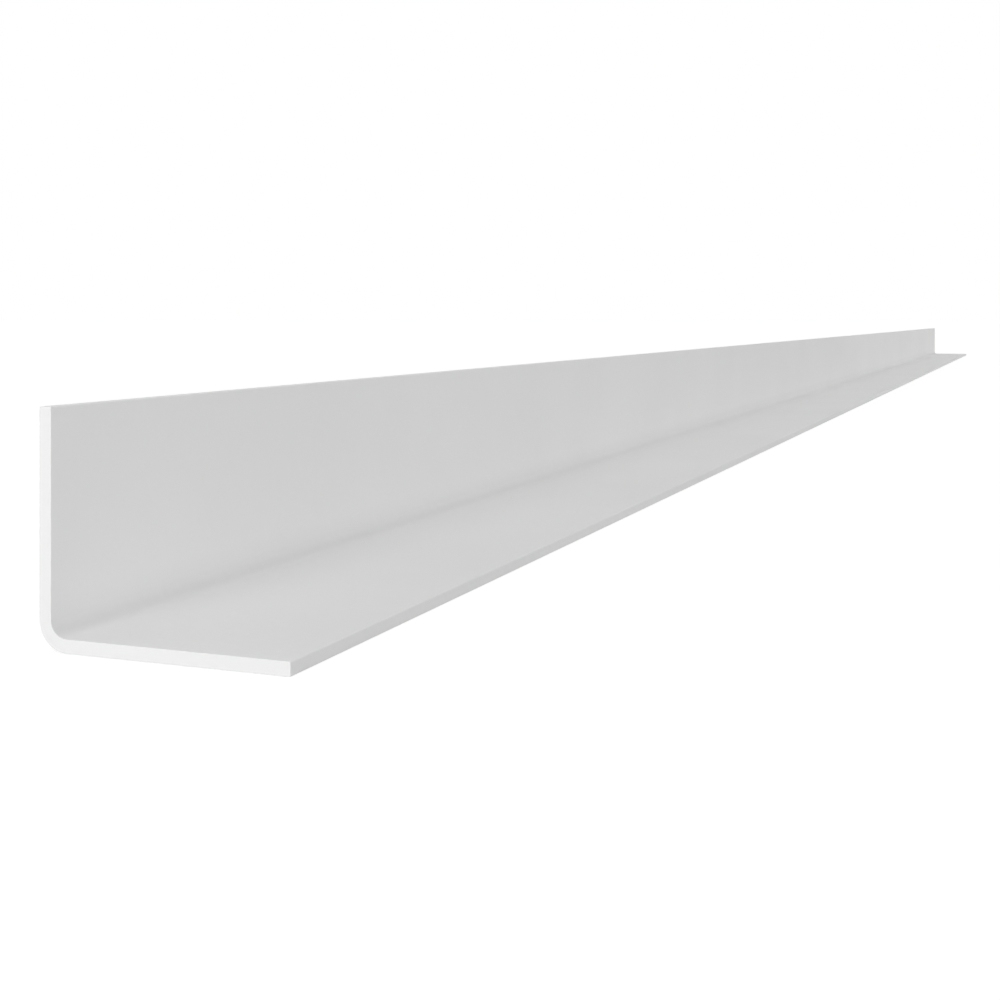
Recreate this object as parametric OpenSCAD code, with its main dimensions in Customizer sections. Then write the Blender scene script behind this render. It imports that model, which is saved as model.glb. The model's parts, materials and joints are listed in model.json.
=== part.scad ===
// L-shaped corner profile, bent from one flat sheet.
// The profile lies on its base leg: X runs along the stock, Y across the base leg, Z up.
// The origin is on the floor, midway along the stock and midway across the base leg.
// The upright leg stands along the +Y edge, so the inside of the corner looks towards -Y.

/* [Section] */
// Width of the base leg, over the outside of the upright leg
base_leg = 70; // [40:1:150]
// Height of the upright leg, over the underside of the base leg
upright_leg = 60; // [40:1:150]
// Thickness of the sheet
sheet_t = 3.5; // [1.5:0.25:6]
// Inside radius of the bend
bend_r = 4.5; // [1:0.5:10]
// Radius that breaks the long edges of both legs
edge_r = 0.3; // [0.1:0.05:0.5]

/* [Stock] */
// Length of the piece between its two square-cut ends
stock_l = 3000; // [500:50:6000]

/* [Hidden] */
$fn = 96;

// Radius of the outside of the bend, concentric with its inside
outer_bend_r = bend_r + sheet_t;
// Flat part of each leg, from the end of the bend to the leg's edge
base_flat = base_leg - outer_bend_r;
upright_flat = upright_leg - outer_bend_r;
// Outside face of the upright leg
heel_y = base_leg / 2;

// Flat strip of sheet along +X from the origin, with its far edge broken on both sides
module leg_section(flat) {
    square([flat - edge_r, sheet_t]);
    translate([0, edge_r])
        square([flat, sheet_t - 2 * edge_r]);
    for (side = [edge_r, sheet_t - edge_r])
        translate([flat - edge_r, side])
            circle(r = edge_r);
}

// Quarter ring that joins the two legs, with its centre at the origin
module bend_section() {
    intersection() {
        difference() {
            circle(r = outer_bend_r);
            circle(r = bend_r);
        }
        translate([0, -outer_bend_r])
            square(outer_bend_r);
    }
}

// Whole section in the Y-Z plane, with the bend's centre at the origin
module profile_section() {
    bend_section();
    // base leg, towards -Y
    translate([0, -bend_r])
        mirror([1, 0])
            mirror([0, 1])
                leg_section(base_flat);
    // upright leg, towards +Z
    translate([bend_r, 0])
        mirror([1, -1])
            leg_section(upright_flat);
}

module corner_profile() {
    color("gainsboro")
        translate([-stock_l / 2, heel_y - outer_bend_r, outer_bend_r])
            rotate([90, 0, 90])
                linear_extrude(height = stock_l)
                    profile_section();
}

corner_profile();
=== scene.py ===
import json
import math
import bpy
import numpy as np
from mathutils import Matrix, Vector


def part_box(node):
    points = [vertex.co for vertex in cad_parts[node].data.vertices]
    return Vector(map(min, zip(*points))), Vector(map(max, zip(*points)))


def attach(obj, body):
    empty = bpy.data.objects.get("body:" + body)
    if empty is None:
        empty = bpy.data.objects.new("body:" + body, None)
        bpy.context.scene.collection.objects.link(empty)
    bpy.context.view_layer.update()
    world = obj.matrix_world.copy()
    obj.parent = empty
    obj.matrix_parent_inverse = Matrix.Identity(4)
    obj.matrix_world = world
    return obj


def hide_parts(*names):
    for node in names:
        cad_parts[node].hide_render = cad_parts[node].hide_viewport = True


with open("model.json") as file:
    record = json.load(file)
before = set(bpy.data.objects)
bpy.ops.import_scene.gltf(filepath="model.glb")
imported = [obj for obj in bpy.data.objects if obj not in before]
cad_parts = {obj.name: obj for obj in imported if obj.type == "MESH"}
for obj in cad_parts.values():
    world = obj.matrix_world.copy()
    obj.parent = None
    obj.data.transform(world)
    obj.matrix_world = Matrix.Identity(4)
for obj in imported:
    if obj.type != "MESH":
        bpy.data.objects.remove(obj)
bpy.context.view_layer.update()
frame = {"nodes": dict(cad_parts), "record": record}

scene = bpy.context.scene
print("frame loaded, nodes:", sorted(frame["nodes"]))


# A value on its way through a shader: arithmetic on it adds Math nodes to the tree
class Signal:
    def __init__(self, tree, socket):
        self.tree = tree
        self.socket = socket

    def math(self, operation, *terms):
        sockets = dict(enumerate(terms))
        return self.tree.add("ShaderNodeMath", {"operation": operation}, sockets)["Value"]

    def __add__(self, other):
        return self.math("ADD", self, other)

    def __sub__(self, other):
        return self.math("SUBTRACT", self, other)

    def __rsub__(self, other):
        return self.math("SUBTRACT", other, self)

    def __mul__(self, other):
        return self.math("MULTIPLY", self, other)

    def __abs__(self):
        return self.math("ABSOLUTE", self)

    __radd__ = __add__
    __rmul__ = __mul__

    def most(self, other):
        return self.math("MAXIMUM", self, other)


# One node tree, built from an empty state
class Shader:
    def __init__(self, nodeTree):
        self.nodes = nodeTree.nodes
        self.links = nodeTree.links
        self.nodes.clear()

    # Adds a node: settings first, then each socket's value or link; gives its outputs by name
    def add(self, kind, settings=None, sockets=None):
        node = self.nodes.new(kind)
        for name, value in (settings or {}).items():
            setattr(node, name, value)
        for name, value in (sockets or {}).items():
            if isinstance(value, Signal):
                self.links.new(value.socket, node.inputs[name])
            else:
                node.inputs[name].default_value = value
        return {out.name: Signal(self, out) for out in node.outputs}


def grey(level):
    return (level, level, level, 1.0)


white = grey(1.0)

# The profile itself
profileShape = {
    "bendRadius": 0.0045,  # inside of the bend
    "edgeRadius": 0.0003,  # breaks the long edges of both legs
    "cutRadius": 0.0001,  # breaks the edges of the two cut ends
    "bendSteps": 40,
    "roundSteps": 6,
    "lengthSteps": 60,
    "mapName": "OFBake",  # the export keeps a texture map that has this name
    "mapBands": 3,  # the map holds the length in so many bands, one above the other
    "mapCapRoom": 0.02,  # the share of the map that the two cut ends get
    "mapGap": 0.004,  # the share of a band that stays free at each of its edges
    "mapCapGap": 0.25,  # the same for the strips of the cut ends
}


def mountPlace(name):
    return next(mount["pos_m"] for mount in frame["record"]["mounts"] if mount["name"] == name)


# Points and outward normals of an arc: centre + radius * (cos, sin) of an angle in degrees.
# The normals of a hollow arc point to its centre.
def arc(centre, radius, first, last, steps, hollow=False):
    angle = np.radians(np.linspace(first, last, steps + 1))
    outward = np.stack([np.cos(angle), np.sin(angle)], 1)
    return np.array(centre) + radius * outward, -outward if hollow else outward


# The section's outline in Y and Z, counterclockwise from the toe: quarter circles at the four
# edges and on both sides of the bend, which share one centre. The flats are the straight lines
# between them. Each point's place along the sheet is counted from the middle of the bend, less
# than 0 on the base leg.
def sectionRing(low, high, shape):
    thick = mountPlace("base_inside")[2] - low.z
    edge, bendRadius = shape["edgeRadius"], shape["bendRadius"]
    rounds, bends = shape["roundSteps"], shape["bendSteps"]
    toeY, topZ = low.y + edge, high.z - edge
    bendCentre = (high.y - thick - bendRadius, low.z + thick + bendRadius)
    arcs = [
        arc((toeY, low.z + edge), edge, 180, 270, rounds),
        arc(bendCentre, bendRadius + thick, 270, 360, bends),
        arc((high.y - edge, topZ), edge, 0, 90, rounds),
        arc((high.y - thick + edge, topZ), edge, 90, 180, rounds),
        arc(bendCentre, bendRadius, 360, 270, bends, hollow=True),
        arc((toeY, low.z + thick - edge), edge, 90, 180, rounds),
    ]
    ring = np.concatenate([points for points, normals in arcs])
    ringNormal = np.concatenate([normals for points, normals in arcs])
    half = len(ring) // 2
    middle = (ring[:half] + ring[::-1][:half]) / 2  # midway between a point and the one across
    travelled = np.concatenate([[0.0], np.cumsum(np.linalg.norm(np.diff(middle, axis=0), axis=1))])
    fromBend = travelled - travelled[rounds + 1 + bends // 2]
    return ring, ringNormal, np.concatenate([fromBend, fromBend[::-1]])


# The ring carried along X: point = ring - normal * setback, where the setback follows a quarter
# circle of the cut radius at each end. Caps of quads join the two sides of the sheet across the
# cut ends.
def profileSurface(low, high, shape):
    ring, ringNormal, fromBend = sectionRing(low, high, shape)
    cut = shape["cutRadius"]
    turn = np.linspace(0, math.pi / 2, shape["roundSteps"] + 1)  # from the cut end to the wall
    run = np.linspace(low.x + cut, high.x - cut, shape["lengthSteps"] + 1)[1:-1]
    nearEnd = low.x + cut * (1 - np.cos(turn))
    along = np.concatenate([nearEnd, run, low.x + high.x - nearEnd[::-1]])
    spread = np.concatenate([np.sin(turn), np.ones(len(run)), np.sin(turn)[::-1]])
    endward = np.concatenate([-np.cos(turn), np.zeros(len(run)), np.cos(turn)[::-1]])
    stations, around = len(along), len(ring)
    points = np.empty((stations, around, 3))
    points[:, :, 0] = along[:, None]
    points[:, :, 1:] = ring - ringNormal * (cut * (1 - spread))[:, None, None]
    normals = np.empty_like(points)
    normals[:, :, 0] = endward[:, None]
    normals[:, :, 1:] = ringNormal * spread[:, None, None]
    index = np.arange(stations * around).reshape(stations, around)
    ahead = np.roll(index, -1, axis=1)
    walls = np.stack([index[:-1], ahead[:-1], ahead[1:], index[1:]], 2).reshape(-1, 4)
    outer = np.arange(around // 2 - 1)
    inner = around - 1 - outer
    cap = np.stack([outer, inner, inner - 1, outer + 1], 1)
    faces = np.concatenate([walls, index[0][cap], index[-1][cap[:, ::-1]]])
    innerFace = np.repeat([0.0, 1.0], around // 2)
    tags = {
        "fromBend": np.tile(fromBend, stations),
        "innerFace": (innerFace * spread[:, None]).ravel(),  # 0 on the cut ends as well
    }
    places = profileMap(along, ring, cap, shape)
    return points.reshape(-1, 3), normals.reshape(-1, 3), faces, tags, places


# A share from 0 to 1, moved inwards so that a gap stays free at both ends
def inset(share, gap):
    return gap + (1 - 2 * gap) * share


# A place on the texture map for every corner of every face, in the order of the faces: across
# the map runs the length of one band, down the map the way round the section. The cut ends lie
# side by side above the bands.
def profileMap(along, ring, cap, shape):
    bands, gap = shape["mapBands"], shape["mapGap"]
    bandHeight = (1 - shape["mapCapRoom"]) / bands
    loop = np.concatenate([ring, ring[:1]])
    way = np.concatenate([[0.0], np.cumsum(np.linalg.norm(np.diff(loop, axis=0), axis=1))])
    way = 1 - way / way[-1]
    share = (along - along[0]) / (along[-1] - along[0]) * bands
    band = np.floor((share[:-1] + share[1:]) / 2)[:, None, None]
    wallU = np.stack([share[:-1], share[:-1], share[1:], share[1:]], 1)[:, None, :] - band
    wallV = np.stack([way[:-1], way[1:], way[1:], way[:-1]], 1)[None]
    wallHeight = (band + inset(wallV, gap)) * bandHeight
    walls = np.stack(np.broadcast_arrays(inset(wallU, gap), wallHeight), 3)
    capWay = (way[: len(cap) + 1] - way[len(cap)]) / (1 - way[len(cap)])
    outerWay, nextWay = capWay[:-1], capWay[1:]
    capU = np.stack([outerWay, outerWay, nextWay, nextWay], 1)
    capV = inset(np.array([0.0, 1.0, 1.0, 0.0]), shape["mapCapGap"])
    capHeight = 1 - shape["mapCapRoom"] * (1 - capV)
    near = np.stack(np.broadcast_arrays(inset(capU, gap) / 2, capHeight), 2)
    far = near[:, ::-1] * [-1, 1] + [1.0, 0.0]
    return np.concatenate([walls.reshape(-1, 2), near.reshape(-1, 2), far.reshape(-1, 2)])


def makeProfile(shape):
    low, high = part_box("corner_profile")
    points, normals, faces, tags, places = profileSurface(low, high, shape)
    mesh = bpy.data.meshes.new("whiteCornerProfile")
    mesh.from_pydata(points, [], faces.tolist())
    mesh.shade_smooth()
    mesh.normals_split_custom_set_from_vertices(normals)
    for name, values in tags.items():
        mesh.attributes.new(name, "FLOAT", "POINT").data.foreach_set("value", values)
    mesh.uv_layers.new(name=shape["mapName"]).uv.foreach_set("vector", places.ravel())
    piece = bpy.data.objects.new("whiteCornerProfile", mesh)
    scene.collection.objects.link(piece)
    print("profile:", len(points), "points,", len(faces), "faces")
    return piece


# The powder coat
whiteCoat = {
    "tone": 0.80,
    "toneDrift": 0.03,  # slow change of tone from place to place
    "driftSize": 0.11,
    "driftDetail": 3.0,
    "thinCoat": [  # painted shade: the colour is drawn darker along the inside of the bend, where shade falls
        {"at": 0.0004, "drop": 0.124, "reach": 0.0056},
        {"at": 0.0033, "drop": 0.045, "reach": 0.0085},
    ],
    "roughness": 0.65,
    "roughDrift": 0.05,
    "roughSize": 0.026,
    "roughDetail": 2.0,
    "shine": 0.3,
    "peelSize": 0.0035,  # width of one dimple of the orange peel
    "peelDetail": 1.0,
    "peelHeight": 0.00015,
}


# Soft patches of about the given size, from 0 to 1
def patches(tree, place, size, detail):
    sockets = {"Vector": place, "Scale": 1 / size, "Detail": detail}
    return tree.add("ShaderNodeTexNoise", None, sockets)["Fac"]


# 1 at no distance, falling in an S to 0 at the reach
def softFade(distance, reach):
    near = (1 - distance * (1 / reach)).most(0.0)
    return near * near * (3 - 2 * near)


def makeWhiteCoat(look):
    material = bpy.data.materials.new("whiteCoat")
    material.use_nodes = True
    tree = Shader(material.node_tree)
    place = tree.add("ShaderNodeTexCoord")["Object"]
    fromBend = tree.add("ShaderNodeAttribute", {"attribute_name": "fromBend"})["Fac"]
    innerFace = tree.add("ShaderNodeAttribute", {"attribute_name": "innerFace"})["Fac"]
    # painted shade: darkens the colour of the inner faces along the bend
    bendShade = sum(
        spot["drop"] * softFade(abs(fromBend - spot["at"]), spot["reach"])
        for spot in look["thinCoat"]
    )
    toneDrift = 2 * patches(tree, place, look["driftSize"], look["driftDetail"]) - 1
    level = look["tone"] * (1 + look["toneDrift"] * toneDrift) * (1 - innerFace * bendShade)
    tone = tree.add("ShaderNodeCombineColor", None, {"Red": level, "Green": level, "Blue": level})
    roughDrift = 2 * patches(tree, place, look["roughSize"], look["roughDetail"]) - 1
    peel = patches(tree, place, look["peelSize"], look["peelDetail"])
    bump = tree.add("ShaderNodeBump", None, {"Height": peel, "Distance": look["peelHeight"]})
    surface = tree.add("ShaderNodeBsdfPrincipled", None, {
        "Base Color": tone["Color"],
        "Roughness": look["roughness"] + look["roughDrift"] * roughDrift,
        "Specular IOR Level": look["shine"],
        "Normal": bump["Normal"],
    })
    tree.add("ShaderNodeOutputMaterial", None, {"Surface": surface["BSDF"]})
    return material


profile = makeProfile(profileShape)
profile.data.materials.append(makeWhiteCoat(whiteCoat))
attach(profile, "root")
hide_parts("corner_profile")
print("profile coated")

# The studio: a white floor in an even white surround
studio = {
    "floorHalf": 40.0,
    "floorDrop": 0.0001,  # the floor lies this far under the profile
    "floorTone": 0.6,
    "floorSeenTone": 0.3,  # the part of the seen floor that takes shadow
    "floorGlow": 0.8,  # the part that stays white
    "surround": 0.369,
    "surroundSeen": 1.0,  # white where it is seen
}


# 1 for rays from the camera and for those that a shiny or clear surface sends on
def seenRays(tree):
    path = tree.add("ShaderNodeLightPath")
    return path["Is Camera Ray"].most(path["Is Glossy Ray"]).most(path["Is Transmission Ray"])


def makeFloor(look):
    corners = np.full((4, 3), -look["floorDrop"])
    corners[:, :2] = look["floorHalf"] * np.array([[-1, -1], [1, -1], [1, 1], [-1, 1]])
    mesh = bpy.data.meshes.new("floor")
    mesh.from_pydata(corners, [], [[0, 1, 2, 3]])
    floor = bpy.data.objects.new("floor", mesh)
    scene.collection.objects.link(floor)
    material = bpy.data.materials.new("whiteFloor")
    material.use_nodes = True
    tree = Shader(material.node_tree)
    plain = tree.add("ShaderNodeBsdfDiffuse", None, {"Color": grey(look["floorTone"])})["BSDF"]
    shaded = tree.add("ShaderNodeBsdfDiffuse", None, {"Color": grey(look["floorSeenTone"])})["BSDF"]
    glow = tree.add("ShaderNodeEmission", None, {"Color": white, "Strength": look["floorGlow"]})
    seen = tree.add("ShaderNodeAddShader", None, {0: shaded, 1: glow["Emission"]})["Shader"]
    both = tree.add("ShaderNodeMixShader", None, {0: seenRays(tree), 1: plain, 2: seen})["Shader"]
    tree.add("ShaderNodeOutputMaterial", None, {"Surface": both})
    mesh.materials.append(material)


def makeSurround(look):
    world = bpy.data.worlds.new("whiteSurround")
    world.use_nodes = True
    scene.world = world
    tree = Shader(world.node_tree)
    strength = look["surround"] + (look["surroundSeen"] - look["surround"]) * seenRays(tree)
    sky = tree.add("ShaderNodeBackground", None, {"Color": white, "Strength": strength})
    tree.add("ShaderNodeOutputWorld", None, {"Surface": sky["Background"]})


# Broad skylights: where each shines from, how wide its disc is in degrees, and its strength
skylights = {
    "endSkylight": {"from": (-1.0, 0.0, 0.1), "spread": 60.0, "strength": 1.26},
    "farSkylight": {"from": (0.7, -0.7, 0.1), "spread": 60.0, "strength": 1.42},
    "topSkylight": {"from": (0.0, 0.0, 1.0), "spread": 60.0, "strength": 0.43},
    "backSkylight": {"from": (0.0, 1.0, 0.1), "spread": 60.0, "strength": 1.2},
}

# A soft box before the near end
endBox = {
    "place": (-2.7, -0.1, 0.35),
    "aim": (-1.5, 0.0, 0.03),
    "width": 0.9,
    "height": 0.5,
    "watts": 6.3,
}


def hangLamp(name, lamp, shines):
    holder = bpy.data.objects.new(name, lamp)
    holder.rotation_euler = Vector(shines).to_track_quat("-Z", "Y").to_euler()
    holder.visible_camera = False
    scene.collection.objects.link(holder)
    return holder


def makeSkylight(name, look):
    lamp = bpy.data.lights.new(name, "SUN")
    lamp.energy = look["strength"]
    lamp.angle = math.radians(look["spread"])
    hangLamp(name, lamp, [-part for part in look["from"]])


def makeEndBox(look):
    lamp = bpy.data.lights.new("endBox", "AREA")
    lamp.shape = "RECTANGLE"
    lamp.size = look["width"]
    lamp.size_y = look["height"]
    lamp.energy = look["watts"]
    holder = hangLamp("endBox", lamp, np.subtract(look["aim"], look["place"]))
    holder.location = look["place"]


makeFloor(studio)
makeSurround(studio)
for name, look in skylights.items():
    makeSkylight(name, look)
makeEndBox(endBox)
print("studio ready")

# The camera: level, with the lens shifted down so that the profile's verticals stay upright
photoCamera = {
    "place": (-1.78273, -0.19481, 0.08154),
    "heading": -68.955,  # degrees round Z from +Y
    "lens": 50.87,
    "sensor": 36.0,
    "shiftY": -0.1815,
    "nearest": 0.01,  # nothing shows that is closer than this
    "farthest": 200.0,  # or farther away than this
}


def makeCamera(look):
    data = bpy.data.cameras.new("photoCamera")
    data.lens = look["lens"]
    data.sensor_width = look["sensor"]
    data.shift_y = look["shiftY"]
    data.clip_start = look["nearest"]
    data.clip_end = look["farthest"]
    camera = bpy.data.objects.new("photoCamera", data)
    camera.location = look["place"]
    camera.rotation_euler = (math.pi / 2, 0.0, math.radians(look["heading"]))
    scene.collection.objects.link(camera)
    scene.camera = camera


makeCamera(photoCamera)
scene.view_settings.view_transform = "Standard"
print("camera ready")
